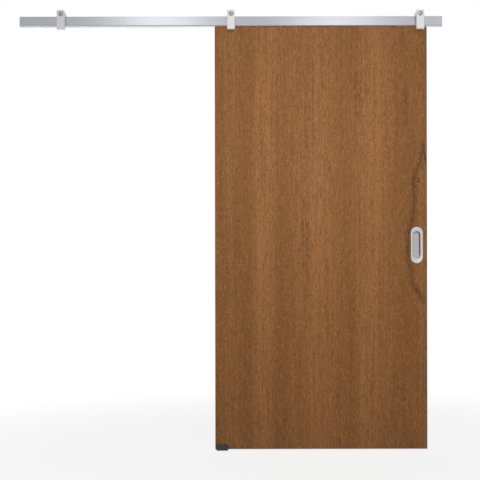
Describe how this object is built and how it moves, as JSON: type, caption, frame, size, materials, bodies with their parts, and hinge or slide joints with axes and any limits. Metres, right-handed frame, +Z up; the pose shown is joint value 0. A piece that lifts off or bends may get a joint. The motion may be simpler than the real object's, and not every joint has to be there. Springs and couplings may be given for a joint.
{
  "type": "sliding barn door",
  "caption": "Flush wooden barn door leaf hung on rollers inside a box rail, with wall brackets, flush pulls and a floor guide.",
  "frame": {"origin": "on the wall plane behind the rail's middle, at the rail's mid height", "axes": "+X along the rail towards the closed side, +Y into the wall, +Z up; the front faces -Y"},
  "size_m": [2.134, 0.1195, 2.2476],
  "materials": {
    "rail_aluminium": "satin anodised, fine brushing along the rail",
    "end_cap": "silver-grey moulded plastic",
    "bracket_arm": "cast, bead blasted",
    "bracket_cover": "light satin silver coating",
    "wall_bolt": "bright turned steel",
    "steel_screw": "bright zinc",
    "black_screw": "black oxide",
    "zinc_steel": "zinc plated",
    "rubber": "matt black",
    "wood": "oiled brown wood, fine upright grain",
    "satin_nickel": "satin nickel",
    "roller_nylon": "natural nylon",
    "roller_steel": "ground steel",
    "guide_grey": "dark grey, fine grained"
  },
  "bodies": {
    "frame": {"bracket_arm_left": "bracket_arm", "bracket_arm_middle": "bracket_arm", "bracket_arm_right": "bracket_arm", "bracket_cover_left": "bracket_cover", "bracket_cover_middle": "bracket_cover", "bracket_cover_right": "bracket_cover", "guide_base": "guide_grey", "guide_jaw": "guide_grey", "guide_screws": "steel_screw", "jaw_screws": "steel_screw", "rail": "rail_aluminium", "rail_cap_left": "end_cap", "rail_cap_right": "end_cap", "rail_screws": "steel_screw", "slot_nut_left": "zinc_steel", "slot_nut_middle": "zinc_steel", "slot_nut_right": "zinc_steel", "stop_bumper_left": "rubber", "stop_bumper_right": "rubber", "stop_screws": "black_screw", "track_stop_left": "zinc_steel", "track_stop_right": "zinc_steel", "wall_bolt_left": "wall_bolt", "wall_bolt_middle": "wall_bolt", "wall_bolt_right": "wall_bolt"},
    "door": {"axle_left_1": "roller_steel", "axle_left_2": "roller_steel", "axle_right_1": "roller_steel", "axle_right_2": "roller_steel", "carriage_left": "zinc_steel", "carriage_right": "zinc_steel", "door_leaf": "wood", "flush_pull_front": "satin_nickel", "flush_pull_rear": "satin_nickel", "hanger_bolt_left": "zinc_steel", "hanger_bolt_right": "zinc_steel", "hanger_nut_left": "zinc_steel", "hanger_nut_right": "zinc_steel", "hanger_plate_left": "zinc_steel", "hanger_plate_right": "zinc_steel", "plate_screws": "steel_screw"},
    "roller_left_1_front": {"roller_bearing_left_1_front": "roller_steel", "roller_tyre_left_1_front": "roller_nylon"},
    "roller_left_1_rear": {"roller_bearing_left_1_rear": "roller_steel", "roller_tyre_left_1_rear": "roller_nylon"},
    "roller_left_2_front": {"roller_bearing_left_2_front": "roller_steel", "roller_tyre_left_2_front": "roller_nylon"},
    "roller_left_2_rear": {"roller_bearing_left_2_rear": "roller_steel", "roller_tyre_left_2_rear": "roller_nylon"},
    "roller_right_1_front": {"roller_bearing_right_1_front": "roller_steel", "roller_tyre_right_1_front": "roller_nylon"},
    "roller_right_1_rear": {"roller_bearing_right_1_rear": "roller_steel", "roller_tyre_right_1_rear": "roller_nylon"},
    "roller_right_2_front": {"roller_bearing_right_2_front": "roller_steel", "roller_tyre_right_2_front": "roller_nylon"},
    "roller_right_2_rear": {"roller_bearing_right_2_rear": "roller_steel", "roller_tyre_right_2_rear": "roller_nylon"}
  },
  "joints": [
    {"name": "door_slide", "type": "slide", "parent": "frame", "child": "door", "axis": [1, 0, 0], "range_m": [-0.906, 0]},
    {"name": "roller_left_1_front_spin", "type": "hinge", "parent": "door", "child": "roller_left_1_front", "pos_m": [-0.031, -0.04045, -0.0073], "axis": [0, 1, 0], "continuous": true},
    {"name": "roller_left_1_rear_spin", "type": "hinge", "parent": "door", "child": "roller_left_1_rear", "pos_m": [-0.031, -0.02455, -0.0073], "axis": [0, 1, 0], "continuous": true},
    {"name": "roller_left_2_front_spin", "type": "hinge", "parent": "door", "child": "roller_left_2_front", "pos_m": [0.017, -0.04045, -0.0073], "axis": [0, 1, 0], "continuous": true},
    {"name": "roller_left_2_rear_spin", "type": "hinge", "parent": "door", "child": "roller_left_2_rear", "pos_m": [0.017, -0.02455, -0.0073], "axis": [0, 1, 0], "continuous": true},
    {"name": "roller_right_1_front_spin", "type": "hinge", "parent": "door", "child": "roller_right_1_front", "pos_m": [0.889, -0.04045, -0.0073], "axis": [0, 1, 0], "continuous": true},
    {"name": "roller_right_1_rear_spin", "type": "hinge", "parent": "door", "child": "roller_right_1_rear", "pos_m": [0.889, -0.02455, -0.0073], "axis": [0, 1, 0], "continuous": true},
    {"name": "roller_right_2_front_spin", "type": "hinge", "parent": "door", "child": "roller_right_2_front", "pos_m": [0.937, -0.04045, -0.0073], "axis": [0, 1, 0], "continuous": true},
    {"name": "roller_right_2_rear_spin", "type": "hinge", "parent": "door", "child": "roller_right_2_rear", "pos_m": [0.937, -0.02455, -0.0073], "axis": [0, 1, 0], "continuous": true}
  ],
  "couplings": [
    {"joint": "roller_left_1_front_spin", "follows": "door_slide", "rad_per_m": 71.429},
    {"joint": "roller_left_1_rear_spin", "follows": "door_slide", "rad_per_m": 71.429},
    {"joint": "roller_left_2_front_spin", "follows": "door_slide", "rad_per_m": 71.429},
    {"joint": "roller_left_2_rear_spin", "follows": "door_slide", "rad_per_m": 71.429},
    {"joint": "roller_right_1_front_spin", "follows": "door_slide", "rad_per_m": 71.429},
    {"joint": "roller_right_1_rear_spin", "follows": "door_slide", "rad_per_m": 71.429},
    {"joint": "roller_right_2_front_spin", "follows": "door_slide", "rad_per_m": 71.429},
    {"joint": "roller_right_2_rear_spin", "follows": "door_slide", "rad_per_m": 71.429}
  ]
}
